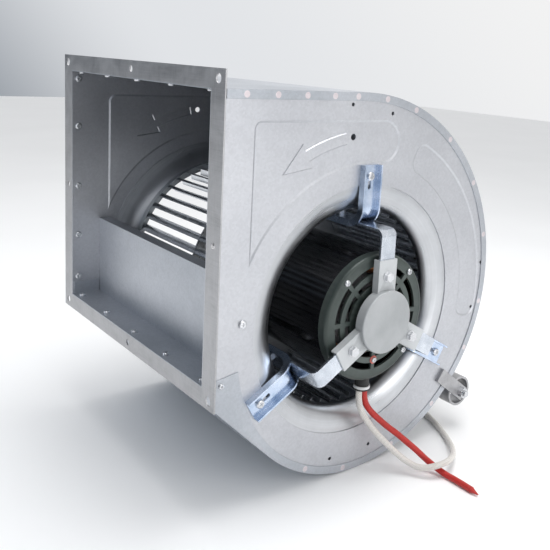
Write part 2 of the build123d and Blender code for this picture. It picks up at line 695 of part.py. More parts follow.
def support_bracket():
    """Channel bracket from the side plate into the inlet, with a slot and a clamp hole."""
    plane = Plane(origin=(0, AXIS_Y, AXIS_Z), x_dir=(1, 0, 0), z_dir=(0, -1, 0))
    bracket = extrude(plane * bracket_strip(0, BRACKET_DEPTH), BRACKET_WIDTH / 2, both=True)
    hollow = bracket_strip(BRACKET_SHEET, BRACKET_DEPTH + 1)
    bracket -= extrude(plane * hollow, BRACKET_WIDTH / 2 - BRACKET_SHEET, both=True)
    slot = Pos(AXIS_Y, AXIS_Z + 144.5) * SlotOverall(10, 4.5, rotation=90)
    bracket -= slab(slot, HALF_WIDTH - 1, HALF_WIDTH + 5)
    bracket -= rod((HALF_WIDTH - 1, AXIS_Y, AXIS_Z + BRACKET_SCREW), (1, 0, 0), 2.6, 6)
    return bracket - rod((CLAMP_X, AXIS_Y, AXIS_Z + 100), (0, 0, 1), 3.1, 6)


def bracket_screws():
    """Screws that fix the brackets to the side plate."""
    seat = (HALF_WIDTH + BRACKET_SHEET, AXIS_Y, AXIS_Z + BRACKET_SCREW)
    screw = pan_head(seat, (1, 0, 0), head_radius=5.0, head_height=3.2, shank_radius=2.5, shank=7)
    return [turned(screw, angle) for angle in SUPPORT_ANGLES]


def support_bolts():
    """Bolts that clamp straps to brackets, then bolts through spider arms and strap legs."""
    inner_face = AXIS_Z + STRAP_OUTER - STRAP_THICK
    clamp_bolt = hex_bolt((CLAMP_X, AXIS_Y, inner_face), (0, 0, -1), size=6, shank=11)
    leg_bolt = hex_bolt((ARM_FACE, AXIS_Y, AXIS_Z + SPIDER_BOLT), (1, 0, 0), size=6, shank=10.5)
    pieces = [clamp_bolt, leg_bolt, to_front_end(leg_bolt)]
    return [turned(piece, angle) for piece in pieces for angle in SUPPORT_ANGLES]


def support_nuts():
    outer_face = AXIS_Z + STRAP_OUTER + BRACKET_SHEET
    clamp_nut = hex_nut((CLAMP_X, AXIS_Y, outer_face), (0, 0, 1))
    leg_nut = hex_nut((STRAP_FACE - STRAP_THICK, AXIS_Y, AXIS_Z + SPIDER_BOLT), (-1, 0, 0))
    pieces = [clamp_nut, leg_nut, to_front_end(leg_nut)]
    return [turned(piece, angle) for piece in pieces for angle in SUPPORT_ANGLES]


# ---------------------------------------------------------------- tie rod behind the scroll
TIE_ANGLE = -37.2
TIE_RADIUS = 238.6
LUG_WIDTH = 18.0
LOOP_OUTER = 20.0
LOOP_SHEET = 3.0
LOOP_DEPTH = 20.0
TIE_ROD_RADIUS = 4.0
LUG_BACK = HALF_WIDTH + SHEET


def tie_lug():
    """Flat tab on the plate's edge whose outer end carries a rolled loop."""
    tab = upright((LUG_BACK, LUG_BACK + 3), LUG_WIDTH / 2, (184.5, TIE_RADIUS + 9))
    tab += upright((HALF_WIDTH, LUG_BACK), LUG_WIDTH / 2, (184.5, 194))
    lug = turned(tab, TIE_ANGLE - 90)
    y, z = about_axis(TIE_RADIUS, TIE_ANGLE)
    lug += ring(LOOP_OUTER - LOOP_SHEET, LOOP_OUTER, LUG_BACK - LOOP_DEPTH, LUG_BACK, y, z)
    return lug - disc(TIE_ROD_RADIUS + 0.3, LUG_BACK - 1, LUG_BACK + 4, y, z)


def tie_rod():
    y, z = about_axis(TIE_RADIUS, TIE_ANGLE)
    half = LUG_BACK + 3 + 10
    return disc(TIE_ROD_RADIUS, -half, half, y, z)


def tie_nuts():
    """A nut on the outside of each lug."""
    y, z = about_axis(TIE_RADIUS, TIE_ANGLE)
    nut = hex_nut((LUG_BACK + 3, y, z), (1, 0, 0), size=8)
    return [nut, mirrored(nut)]


# ---------------------------------------------------------------- leads
LEAD_DIAMETER = 7.5
LEAD_RADIUS = LEAD_DIAMETER / 2
GROUND = ARC_LOW[1] - RADIUS_LOW        # lowest line of the scroll, on which the blower stands
LEAD_FLOOR = GROUND + LEAD_RADIUS

RED_ROUTE = [
    (178.2, 205.7, GLAND_END),
    (178.2, 205.7, -204.0),
    (181.8, 214.0, -219.0),
    (188.5, 230.0, -235.5),
    (198.0, 248.5, -252.0),
    (209.0, 265.0, -268.5),
    (222.0, 278.0, -284.0),
    (239.0, 285.0, -292.4),
    (260.0, 286.5, LEAD_FLOOR),
    (281.0, 286.0, LEAD_FLOOR),
]

WHITE_ROUTE = [
    (178.2, 197.7, GLAND_END),
    (178.2, 197.7, -203.0),
    (180.5, 202.5, -219.0),
    (185.5, 213.0, -236.0),
    (192.0, 226.0, -252.5),
    (200.5, 239.5, -268.0),
    (211.5, 251.5, -281.0),
    (225.5, 260.5, -285.5),
    (238.0, 272.5, -280.5),
    (241.0, 291.0, -278.5),
    (232.0, 309.0, -282.0),
    (219.5, 325.0, -286.5),
    (203.0, 340.5, -290.0),
    (182.0, 355.0, LEAD_FLOOR),
    (158.0, 367.0, LEAD_FLOOR),
    (133.0, 377.0, LEAD_FLOOR),
    (106.0, 385.0, LEAD_FLOOR),
    (81.0, 395.0, LEAD_FLOOR),
    (58.0, 409.2, LEAD_FLOOR),
]

COIL_CENTRE = (52.0, 369.0)
COIL_MIDDLE_RADIUS = 41.0
COIL_LAYERS = 2


def route_radii(points):
    """Arc radius at each inner point: 0.45 of the shorter run over the tangent of half the turn."""
    vectors = [Vector(*point) for point in points]
    radii = []
    for before, corner, after in zip(vectors, vectors[1:], vectors[2:]):
        turn = (corner - before).get_angle(after - corner)
        shorter = min((corner - before).length, (after - corner).length)
        radii.append(0.45 * shorter / tan(radians(turn / 2)))
    return radii


def lead_tube(name, points):
    """A sleeved lead as one tube along straight runs joined by tangent arcs."""
    radii = route_radii(points)
    path = FilletPolyline(*points, radius=radii)
    first = Vector(*points[1]) - Vector(*points[0])
    tube = sweep(Plane(origin=points[0], z_dir=first) * Circle(LEAD_RADIUS), path=path)
    ideal_volume = pi * LEAD_RADIUS ** 2 * path.length
    print(name, "length", round(path.length, 1), "volume ratio", round(tube.volume / ideal_volume, 4))
    print(name, "radii", [round(radius) for radius in radii])
    return tube


COIL_TAIL = [
    (93.0, 367.0, GROUND + 1.5 * LEAD_DIAMETER),
    (92.0, 381.5, GROUND + 1.3 * LEAD_DIAMETER),
    (84.5, 393.0, GROUND + 0.8 * LEAD_DIAMETER),
    (74.0, 398.5, LEAD_FLOOR),
    (61.0, 398.5, LEAD_FLOOR),
]


def white_lead_coil():
    """The put-away length of the white lead: a flat coil behind the scroll, and a tail inside it."""
    plane = Plane(origin=(*COIL_CENTRE, GROUND), z_dir=(0, 0, 1))
    outer = COIL_MIDDLE_RADIUS + LEAD_RADIUS
    inner = COIL_MIDDLE_RADIUS - LEAD_RADIUS
    coil = extrude(plane * (Circle(outer) - Circle(inner)), COIL_LAYERS * LEAD_DIAMETER)
    return coil + lead_tube("coil tail", COIL_TAIL)


def coil_tie(coil):
    """Strap round the coil's turns."""
    width = 6.0
    height = COIL_LAYERS * LEAD_DIAMETER
    x = COIL_CENTRE[0] - COIL_MIDDLE_RADIUS
    y = COIL_CENTRE[1]
    outer = block((x - LEAD_RADIUS - 1.5, x + LEAD_RADIUS + 1.5), (y - width / 2, y + width / 2),
                  (GROUND, GROUND + height + 1.2))
    return outer - coil


def red_lead_tip():
    """Tapered sealed end of the red sleeve."""
    end = Vector(*RED_ROUTE[-1])
    along = (end - Vector(*RED_ROUTE[-2])).normalized()
    start_face = Plane(origin=end, z_dir=along) * Circle(LEAD_RADIUS)
    point = end + along * 10 + Vector(0, 0, 1.5 - LEAD_RADIUS)
    end_face = Plane(origin=point, z_dir=along) * Circle(1.0)
    return loft([start_face, end_face])


def white_lead_terminal():
    """Push-on terminal in its sleeve, on the end of the tail."""
    x, y, _ = COIL_TAIL[-1]
    sleeve = block((x - 18, x), (y - 5, y + 5), (GROUND, GROUND + LEAD_DIAMETER))
    return fillet(sleeve.edges().filter_by(Axis.X), 2.5)


# ---------------------------------------------------------------- all nodes
def write_nodes():
    near_plate = side_plate()
    near_bell = inlet_bell()
    near_gusset = corner_gusset()
    side_member = flange_side_member()
    top_member = flange_end_member()
    near_ring = end_ring()
    lug = tie_lug()
    strap = motor_strap()
    bracket = support_bracket()
    rear_ring = rubber_ring()
    coil = white_lead_coil()
    nodes = {
        "side_plate_near": near_plate,
        "side_plate_far": mirrored(near_plate),
        "inlet_bell_near": near_bell,
        "inlet_bell_far": mirrored(near_bell),
        "scroll_wrapper": scroll_wrapper(),
        "scroll_lips": solids_of(scroll_lips()),
        "corner_gusset_near": near_gusset,
        "corner_gusset_far": mirrored(near_gusset),
        "outlet_floor": outlet_floor(),
        "cutoff_plate": cutoff_plate(),
        "flange_side_near": side_member,
        "flange_side_far": mirrored(side_member),
        "flange_top": top_member,
        "flange_bottom": mirror(top_member, about=Plane.XY),
        "flange_screws": solids_of(flange_screws()),
        "plate_screws": solids_of(plate_screws()),
        "wheel_disc": wheel_disc(),
        "wheel_hub": wheel_hub(),
        "hub_setscrew": hub_setscrew(),
        "blades_near": solids_of(blade_row(DISC_THICKNESS / 2, WHEEL_HALF_WIDTH - 1)),
        "blades_far": solids_of(blade_row(1 - WHEEL_HALF_WIDTH, -DISC_THICKNESS / 2)),
        "wheel_ring_near": near_ring,
        "wheel_ring_far": mirrored(near_ring),
        "motor_shaft": motor_shaft(),
        "rotor_core": rotor_core(),
        "bearing_inner_rings": both_ends(bearing_inner()),
        "bearing_outer_rings": both_ends(bearing_outer()),
        "motor_shell": motor_shell(),
        "end_bell_rear": rear_end_bell(),
        "end_bell_front": front_end_bell(),
        "stator_core": stator_core(),
        "stator_windings": solids_of(stator_windings()),
        "motor_through_bolts": solids_of(through_bolts()),
        "lead_gland": lead_gland(),
        "gland_collar": gland_collar(),
        "earth_screw": earth_screw(),
        "earth_washer": earth_washer(),
        "spider_rear": rear_spider(),
        "spider_front": front_spider(),
        "rubber_ring_rear": rear_ring,
        "rubber_ring_front": to_front_end(rear_ring),
        "bracket_screws": solids_of(bracket_screws()),
        "support_bolts": solids_of(support_bolts()),
        "support_nuts": solids_of(support_nuts()),
        "tie_lug_near": lug,
        "tie_lug_far": mirrored(lug),
        "tie_rod": tie_rod(),
        "tie_nuts": solids_of(tie_nuts()),
        "red_lead": lead_tube("red_lead", RED_ROUTE),
        "red_lead_tip": red_lead_tip(),
        "white_lead": lead_tube("white_lead", WHITE_ROUTE),
        "white_lead_coil": coil,
        "coil_tie": coil_tie(coil),
        "white_lead_terminal": white_lead_terminal(),
    }
    for place, angle in zip(("top", "front", "back"), SUPPORT_ANGLES):
        nodes["motor_strap_" + place] = turned(strap, angle)
        nodes["support_bracket_" + place] = turned(bracket, angle)
    for name, shape in nodes.items():
        export_step(shape, "parts/" + name + ".step")
    print(len(nodes), "nodes")


os.makedirs("parts", exist_ok=True)
write_nodes()
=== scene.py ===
from math import cos, pi, radians, sin

import bmesh
import bpy
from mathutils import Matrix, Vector


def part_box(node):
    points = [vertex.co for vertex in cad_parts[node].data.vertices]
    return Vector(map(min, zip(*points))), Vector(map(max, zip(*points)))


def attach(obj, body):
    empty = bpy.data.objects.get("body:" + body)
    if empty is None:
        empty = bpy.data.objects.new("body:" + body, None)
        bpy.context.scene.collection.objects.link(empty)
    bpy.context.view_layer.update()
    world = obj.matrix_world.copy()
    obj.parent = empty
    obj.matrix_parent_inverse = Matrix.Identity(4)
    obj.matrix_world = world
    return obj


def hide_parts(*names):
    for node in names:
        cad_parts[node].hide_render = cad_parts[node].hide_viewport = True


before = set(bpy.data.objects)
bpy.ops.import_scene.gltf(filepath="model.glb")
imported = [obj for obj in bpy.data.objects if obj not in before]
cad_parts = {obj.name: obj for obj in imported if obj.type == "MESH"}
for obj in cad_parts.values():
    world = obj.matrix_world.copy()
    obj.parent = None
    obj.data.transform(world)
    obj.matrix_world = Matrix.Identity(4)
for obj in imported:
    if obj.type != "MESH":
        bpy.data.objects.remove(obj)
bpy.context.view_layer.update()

MM = 0.001
AXIS = Vector((0, 201.5, -100.5)) * MM          # wheel axis
PLATE = 165.5 * MM                              # outer face of a side plate
ARC_TOP = Vector((189.35, -88.35)) * MM         # centres of the scroll's arcs, (y, z)
ARC_BACK = Vector((213.65, -88.35)) * MM
ARC_LOW = Vector((213.65, -112.65)) * MM
RADIUS_TOP = 232.35 * MM
RADIUS_BACK = 208.05 * MM
RADIUS_LOW = 183.75 * MM
DUCT_TOP = 144.0 * MM
GROUND = ARC_LOW.y - RADIUS_LOW
LEAD = 7.5 * MM                                 # lead diameter


# ---------------------------------------------------------------- camera
def add_camera():
    data = bpy.data.cameras.new("camera")
    data.sensor_width = 36
    data.lens = 48.83
    data.shift_x = -0.0973
    data.shift_y = -0.1412
    camera = bpy.data.objects.new("camera", data)
    camera.location = Vector((752.9, -352.9, 174.8)) * MM
    camera.rotation_euler = (radians(79.6), radians(-3.48), radians(50.32))
    bpy.context.scene.collection.objects.link(camera)
    bpy.context.scene.camera = camera
    bpy.context.scene.view_settings.view_transform = "Standard"


# ---------------------------------------------------------------- mesh helpers
def new_object(name, mesh):
    obj = bpy.data.objects.new(name, mesh)
    bpy.context.scene.collection.objects.link(obj)
    return obj


def mesh_piece(name, vertices, faces, material, body="housing", smooth=True):
    """A piece from plain lists, riding on a body."""
    mesh = bpy.data.meshes.new(name)
    mesh.from_pydata(vertices, [], faces)
    mesh.update()
    mesh.materials.append(material)
    if smooth:
        mesh.shade_smooth()
    obj = new_object(name, mesh)
    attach(obj, body)
    return obj


def finish_bmesh(name, bm, material, body="housing", smooth=True):
    """A piece from a bmesh, riding on a body."""
    mesh = bpy.data.meshes.new(name)
    bmesh.ops.recalc_face_normals(bm, faces=bm.faces)
    bm.to_mesh(mesh)
    bm.free()
    mesh.materials.append(material)
    if smooth:
        mesh.shade_smooth()
    obj = new_object(name, mesh)
    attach(obj, body)
    return obj


# ---------------------------------------------------------------- node helpers
class Nodes:
    """Short names for building one procedural material."""

    def __init__(self, name):
        self.material = bpy.data.materials.new(name)
        self.material.use_nodes = True
        self.tree = self.material.node_tree
        self.shader = self.tree.nodes["Principled BSDF"]
        self.where = self.tree.nodes.new("ShaderNodeTexCoord").outputs["Object"]

    def node(self, kind, **settings):
        node = self.tree.nodes.new(kind)
        for key, value in settings.items():
            setattr(node, key, value)
        return node

    def link(self, source, target):
        self.tree.links.new(source, target)

    def set(self, **values):
        for key, value in values.items():
            self.shader.inputs[key.replace("_", " ")].default_value = value

    def stretched(self, scale, source=None):
        """Object coordinates multiplied by a scale on each axis."""
        node = self.node("ShaderNodeMapping")
        node.inputs["Scale"].default_value = scale
        self.link(source or self.where, node.inputs["Vector"])
        return node.outputs["Vector"]

    def noise(self, scale, detail=3.0, rough=0.5, vector=None, distortion=0.0):
        node = self.node("ShaderNodeTexNoise")
        node.inputs["Scale"].default_value = scale
        node.inputs["Detail"].default_value = detail
        node.inputs["Roughness"].default_value = rough
        node.inputs["Distortion"].default_value = distortion
        self.link(vector or self.where, node.inputs["Vector"])
        return node.outputs["Fac"]

    def cells(self, scale, vector=None):
        node = self.node("ShaderNodeTexVoronoi")
        node.inputs["Scale"].default_value = scale
        self.link(vector or self.where, node.inputs["Vector"])
        return node.outputs["Color"]

    def ramp(self, source, stops):
        """Colour ramp; stops are (position, colour or grey)."""
        node = self.node("ShaderNodeValToRGB")
        elements = node.color_ramp.elements
        while len(elements) < len(stops):
            elements.new(0.5)
        for element, (position, colour) in zip(elements, stops):
            element.position = position
            element.color = colour if len(colour) == 4 else (*colour, 1)
        self.link(source, node.inputs["Fac"])
        return node.outputs["Color"]

    def spread(self, source, low, high, from_low=0.3, from_high=0.7):
        """A number from low to high as source goes from from_low to from_high."""
        node = self.node("ShaderNodeMapRange")
        node.inputs["From Min"].default_value = from_low
        node.inputs["From Max"].default_value = from_high
        node.inputs["To Min"].default_value = low
        node.inputs["To Max"].default_value = high
        self.link(source, node.inputs["Value"])
        return node.outputs["Result"]

    def maths(self, operation, first, second=None, third=None):
        node = self.node("ShaderNodeMath", operation=operation)
        for index, value in enumerate((first, second, third)):
            if value is None:
                continue
            if isinstance(value, (int, float)):
                node.inputs[index].default_value = value
            else:
                self.link(value, node.inputs[index])
        return node.outputs["Value"]

    def mix(self, factor, first, second, blend="MIX"):
        """Colour mix; each input is a socket, or a colour."""
        node = self.node("ShaderNodeMix", data_type="RGBA", blend_type=blend)
        for index, value in ((0, factor), (6, first), (7, second)):
            if isinstance(value, bpy.types.NodeSocket):
                self.link(value, node.inputs[index])
            else:
                node.inputs[index].default_value = value
        return node.outputs[2]

    def colour(self, source):
        self.link(source, self.shader.inputs["Base Color"])

    def roughness(self, source):
        self.link(source, self.shader.inputs["Roughness"])

    def bumps(self, *heights, edge=0.0):
        """Layers of (height socket, strength, distance in metres), over edges rounded by edge metres."""
        normal = None
        if edge:
            rounding = self.node("ShaderNodeBevel", samples=4)
            rounding.inputs["Radius"].default_value = edge
            normal = rounding.outputs["Normal"]
        for height, strength, distance in heights:
            node = self.node("ShaderNodeBump")
            node.inputs["Strength"].default_value = strength
            node.inputs["Distance"].default_value = distance
            self.link(height, node.inputs["Height"])
            if normal is not None:
                self.link(normal, node.inputs["Normal"])
            normal = node.outputs["Normal"]
        self.link(normal, self.shader.inputs["Normal"])


def grey(value):
    return (value, value, value)


# ---------------------------------------------------------------- materials
def sheet_material(name, dark, light, metallic=0.85, rough=(0.34, 0.46), grain=0.35, waves=0.25):
    """Galvanised sheet: soft clouds, a fine zinc grain, rolling lines and a few smudges."""
    m = Nodes(name)
    m.set(Metallic=metallic, IOR=1.5)
    clouds = m.noise(7, 4, 0.55)
    fine = m.noise(650, 2, 0.6)
    spangle = m.cells(420)
    smudge = m.noise(28, 5, 0.65, distortion=0.6)
    base = m.ramp(clouds, [(0.3, dark), (0.7, light)])
    base = m.mix(m.spread(spangle, 0.0, 0.10, 0.2, 0.8), base, (*grey(0.32), 1), "MULTIPLY")
    base = m.mix(m.spread(smudge, 0.0, 0.22, 0.56, 0.8), base, (*[value * 0.72 for value in dark], 1))
    m.colour(base)
    m.roughness(m.maths("ADD", m.spread(fine, *rough), m.spread(smudge, -0.03, 0.08)))
    m.bumps((m.noise(1400, 1), grain, 0.00006), (m.noise(9, 2), waves, 0.0012), edge=0.0004)
    return m.material


def flange_material():
    """Flange strips: darker, brushed along their length, with mottled stains."""
    m = Nodes("flange_steel")
    m.set(Metallic=0.9, IOR=1.5)
    brushed = m.noise(1, 4, 0.7, m.stretched((900, 900, 18)))
    across = m.noise(1, 4, 0.7, m.stretched((18, 900, 900)))
    stains = m.noise(22, 5, 0.7, distortion=1.0)
    base = m.ramp(stains, [
        (0.28, (0.26, 0.26, 0.27)),
        (0.5, (0.38, 0.38, 0.39)),
        (0.74, (0.48, 0.48, 0.49))])
    streaks = m.maths("MULTIPLY", brushed, across)
    m.colour(m.mix(m.spread(streaks, 0.0, 0.35, 0.15, 0.4), base, (0.68, 0.68, 0.69, 1)))
    m.roughness(m.spread(m.maths("ADD", stains, streaks), 0.3, 0.55, 0.5, 1.1))
    m.bumps((streaks, 0.3, 0.0001), (m.noise(14, 2), 0.2, 0.001), edge=0.0005)
    return m.material


def spun_material(name, dark, light, rough):
    """Spun or rolled sheet: rings about the wheel axis."""
    m = Nodes(name)
    m.set(Metallic=1.0, IOR=1.5)
    split = m.node("ShaderNodeSeparateXYZ")
    m.link(m.where, split.inputs["Vector"])
    y = m.maths("SUBTRACT", split.outputs["Y"], AXIS.y)
    z = m.maths("SUBTRACT", split.outputs["Z"], AXIS.z)
    radius = m.maths("SQRT", m.maths("ADD", m.maths("MULTIPLY", y, y), m.maths("MULTIPLY", z, z)))
    rings = m.node("ShaderNodeCombineXYZ")
    m.link(m.maths("MULTIPLY", radius, 500.0), rings.inputs["X"])
    m.link(m.maths("MULTIPLY", split.outputs["X"], 500.0), rings.inputs["Y"])
    lines = m.noise(1.0, 3, 0.6, rings.outputs["Vector"])
    clouds = m.noise(16, 4, 0.6)
    base = m.ramp(clouds, [(0.3, dark), (0.7, light)])
    m.colour(m.mix(m.spread(lines, 0.0, 0.3), base, (*grey(0.42), 1)))
    m.roughness(m.maths("ADD", m.spread(lines, *rough), m.spread(clouds, -0.03, 0.05)))
    m.bumps((lines, 0.25, 0.00008), (m.noise(11, 2), 0.2, 0.0012))
    return m.material


def plated_material(name, dark, light, rough=(0.2, 0.34), stretch=(300, 300, 300), metallic=1.0):
    """Zinc-plated steel with fine drawn lines and cloudy passivation."""
    m = Nodes(name)
    m.set(Metallic=metallic, IOR=1.5)
    lines = m.noise(1, 3, 0.6, m.stretched(stretch))
    clouds = m.noise(60, 3, 0.6)
    m.colour(m.ramp(clouds, [(0.3, dark), (0.7, light)]))
    m.roughness(m.maths("ADD", m.spread(lines, *rough), m.spread(clouds, -0.03, 0.04)))
    m.bumps((lines, 0.18, 0.00008), (m.noise(900, 1), 0.1, 0.00003), edge=0.0005)
    return m.material


def enamel_material():
    """Gloss black shell: thick enamel with faint ripples along the shaft."""
    m = Nodes("black_enamel")
    m.set(Metallic=0.0, IOR=1.5, Coat_Weight=0.35, Coat_Roughness=0.1)
    ripple = m.noise(1, 2, 0.5, m.stretched((2, 45, 45)))
    clouds = m.noise(30, 3, 0.6)
    m.colour(m.ramp(clouds, [(0.3, (0.004, 0.004, 0.005)), (0.75, (0.010, 0.010, 0.011))]))
    m.roughness(m.spread(clouds, 0.1, 0.2))
    m.bumps((ripple, 0.12, 0.0005), (m.noise(700, 2), 0.08, 0.00004))
    return m.material


def casting_material(name, dark, light, rough=(0.42, 0.58), grain=0.4, metallic=0.25):
    """Painted die casting: fine orange peel and lighter sharp edges, taken from the mesh's pointiness.
    """
    m = Nodes(name)
    m.set(Metallic=metallic, IOR=1.5)
    clouds = m.noise(24, 4, 0.6)
    fine = m.noise(900, 2, 0.6)
    geometry = m.node("ShaderNodeNewGeometry")
    edge = m.spread(geometry.outputs["Pointiness"], 0.0, 0.35, 0.52, 0.6)
    base = m.ramp(clouds, [(0.3, dark), (0.7, light)])
    m.colour(m.mix(edge, base, (*[min(1, value * 1.8 + 0.05) for value in light], 1)))
    m.roughness(m.maths("ADD", m.spread(fine, *rough), m.spread(clouds, -0.04, 0.05)))
    m.bumps((fine, grain, 0.00008), (m.noise(300, 2), grain * 0.6, 0.00012), edge=0.0006)
    return m.material


def rubber_material(name, dark, light):
    m = Nodes(name)
    m.set(IOR=1.5)
    clouds = m.noise(70, 3, 0.6)
    m.colour(m.ramp(clouds, [(0.3, dark), (0.7, light)]))
    m.roughness(m.spread(m.noise(600, 2), 0.5, 0.75))
    m.bumps((m.noise(900, 2), 0.3, 0.00006))
    return m.material


def lamination_material():
    """Edges of stacked laminations across the shaft."""
    m = Nodes("laminations")
    m.set(Metallic=0.9, IOR=1.5)
    lines = m.noise(1, 2, 0.6, m.stretched((2000, 8, 8)))
    m.colour(m.ramp(lines, [(0.35, (0.10, 0.10, 0.105)), (0.65, (0.32, 0.32, 0.33))]))
    m.roughness(m.spread(m.noise(300), 0.4, 0.65))
    m.bumps((lines, 0.5, 0.0001))
    return m.material


def copper_material():
    m = Nodes("enamelled_copper")
    m.set(Metallic=0.85, IOR=1.5, Coat_Weight=0.4, Coat_Roughness=0.15)
    tint = m.noise(220, 3, 0.6)
    m.colour(m.ramp(tint, [(0.3, (0.30, 0.09, 0.03)), (0.7, (0.62, 0.26, 0.10))]))
    m.roughness(m.spread(tint, 0.25, 0.45))
    m.bumps((m.noise(500, 1), 0.2, 0.00006))
    return m.material


BRAID_AROUND = 14               # strands round a lead
BRAID_PITCH = 3.0 * MM          # length of one weave


def sleeve_material(name, dark, light, rough, sheen, stain):
    """Woven glass sleeve: crossing strands laid out on the tube's own length and turn."""
    m = Nodes(name)
    m.set(IOR=1.5, Sheen_Weight=sheen, Sheen_Roughness=0.5)
    turn = m.node("ShaderNodeAttribute", attribute_name="turn").outputs["Fac"]
    length = m.node("ShaderNodeAttribute", attribute_name="along").outputs["Fac"]
    around = m.maths("MULTIPLY", turn, float(BRAID_AROUND))
    steps = m.maths("DIVIDE", length, BRAID_PITCH)
    one_way = m.maths("SINE", m.maths("MULTIPLY", m.maths("ADD", around, steps), 2 * pi))
    other_way = m.maths("SINE", m.maths("MULTIPLY", m.maths("SUBTRACT", around, steps), 2 * pi))
    weave = m.maths("MAXIMUM", one_way, other_way)
    dirt = m.noise(60, 4, 0.65)
    base = m.ramp(weave, [(0.0, dark), (0.8, light)])
    m.colour(m.mix(m.spread(dirt, 0.0, 0.4, 0.5, 0.8), base, (*stain, 1)))
    m.roughness(m.spread(weave, rough + 0.12, rough, 0.0, 1.0))
    m.bumps((weave, 0.5, 0.0002), (m.noise(260, 3), 0.35, 0.0003))
    return m.material


def floor_material():
    m = Nodes("studio_floor")
    m.set(IOR=1.3)
    m.colour(m.ramp(m.noise(3, 2), [(0.3, grey(0.93)), (0.7, grey(0.95))]))
    m.roughness(m.spread(m.noise(40), 0.7, 0.8))
    return m.material


# ---------------------------------------------------------------- leads
def nurbs_line(name, points):
    """Points along the smooth line of a lead, read from its NURBS spline."""
    data = bpy.data.curves.new(name, "CURVE")
    data.dimensions = "3D"
    data.resolution_u = 10
    spline = data.splines.new("NURBS")
    spline.points.add(len(points) - 1)
    for point, place in zip(spline.points, points):
        point.co = (*(Vector(place) * MM), 1)
    spline.order_u = 3
    spline.use_endpoint_u = True
    obj = bpy.data.objects.new(name, data)
    mesh = bpy.data.meshes.new_from_object(obj)
    line = [vertex.co.copy() for vertex in mesh.vertices]
    bpy.data.meshes.remove(mesh)
    bpy.data.objects.remove(obj)
    return line


def tube_along(name, line, radius_at, material, sides=28):
    """Mesh tube along a line, with its turn and its length kept as attributes for the weave."""
    vertices, faces, turns, alongs = [], [], [], []
    side = Vector((0, 0, 1)).cross(line[1] - line[0])
    if side.length < 1e-9:
        side = Vector((1, 0, 0))
    travelled = 0.0
    for index, centre in enumerate(line):
        before = line[max(index - 1, 0)]
        after = line[min(index + 1, len(line) - 1)]
        forward = (after - before).normalized()
        side = (side - forward * side.dot(forward)).normalized()
        up = forward.cross(side)
        if index:
            travelled += (centre - line[index - 1]).length
        for step in range(sides + 1):
            angle = 2 * pi * step / sides
            spread = radius_at(travelled, angle)
            vertices.append(centre + side * (cos(angle) * spread) + up * (sin(angle) * spread))
            turns.append(step / sides)
            alongs.append(travelled)
    row = sides + 1
    for ring in range(len(line) - 1):
        for step in range(sides):
            a = ring * row + step
            faces.append((a, a + 1, a + 1 + row, a + row))
    for centre, first, flip in ((line[0], 0, True), (line[-1], (len(line) - 1) * row, False)):
        middle = len(vertices)
        vertices.append(centre.copy())
        turns.append(0.5)
        alongs.append(0.0 if flip else travelled)
        for step in range(sides):
            edge = (first + step, first + step + 1)
            faces.append((middle, edge[1], edge[0]) if flip else (middle, *edge))
    piece = mesh_piece(name, vertices, faces, material)
    for key, values in (("turn", turns), ("along", alongs)):
        layer = piece.data.attributes.new(key, "FLOAT", "POINT")
        layer.data.foreach_set("value", values)
    return piece


def sleeve_radius(travelled, angle):
    """A slightly lumpy sleeve over twisted wires."""
    wires = 0.018 * cos(3 * angle + travelled * 190)
    lumps = 0.012 * sin(travelled * 430 + 1.3 * cos(travelled * 97))
    return LEAD / 2 * (0.972 + wires + lumps)


GLAND_END = -190.0
FLOOR_LINE = GROUND / MM + 3.75

RED_ROUTE = [
    (178.2, 205.7, GLAND_END),
    (178.2, 205.7, -204.0),
    (181.8, 214.0, -219.0),
    (188.5, 230.0, -235.5),
    (198.0, 248.5, -252.0),
    (209.0, 265.0, -268.5),
    (222.0, 278.0, -284.0),
    (239.0, 285.0, -292.4),
    (260.0, 286.5, FLOOR_LINE),
    (281.0, 286.0, FLOOR_LINE),
]

WHITE_ROUTE = [
    (178.2, 197.7, GLAND_END),
    (178.2, 197.7, -203.0),
    (180.5, 202.5, -219.0),
    (185.5, 213.0, -236.0),
    (192.0, 226.0, -252.5),
    (200.5, 239.5, -268.0),
    (211.5, 251.5, -281.0),
    (225.5, 260.5, -285.5),
    (238.0, 272.5, -280.5),
    (241.0, 291.0, -278.5),
    (232.0, 309.0, -282.0),
    (219.5, 325.0, -286.5),
    (203.0, 340.5, -290.0),
    (182.0, 355.0, FLOOR_LINE),
    (158.0, 367.0, FLOOR_LINE),
    (133.0, 377.0, FLOOR_LINE),
    (106.0, 385.0, FLOOR_LINE),
    (81.0, 395.0, FLOOR_LINE),
]

COIL_TAIL = [
    (92.0, 381.5, GROUND / MM + 9.75),
    (84.5, 393.0, GROUND / MM + 6.0),
    (74.0, 398.5, FLOOR_LINE),
    (61.0, 398.5, FLOOR_LINE),
]

COIL_CENTRE = (52.0, 369.0)
COIL_RADIUS = 41.0
COIL_STEPS = 16                 # points for each turn


def coil_points():
    """Two turns, the second on the first, from the route's end to the tail."""
    points = []
    for step in range(2 * COIL_STEPS - 4):
        angle = radians(90) + 2 * pi * step / COIL_STEPS
        lift = min(max(step - COIL_STEPS * 0.62, 0) / (COIL_STEPS * 0.3), 1.0)
        points.append((COIL_CENTRE[0] + COIL_RADIUS * cos(angle),
                       COIL_CENTRE[1] + COIL_RADIUS * sin(angle),
                       FLOOR_LINE + 7.5 * lift))
    return points


def tip_radius(travelled, angle):
    """The sealed end is pinched flat to a slanted point."""
    part = min(travelled / (10 * MM), 1.0)
    flat = 1 - 0.55 * part * abs(sin(angle))
    return LEAD / 2 * (1 - 0.72 * part) * flat


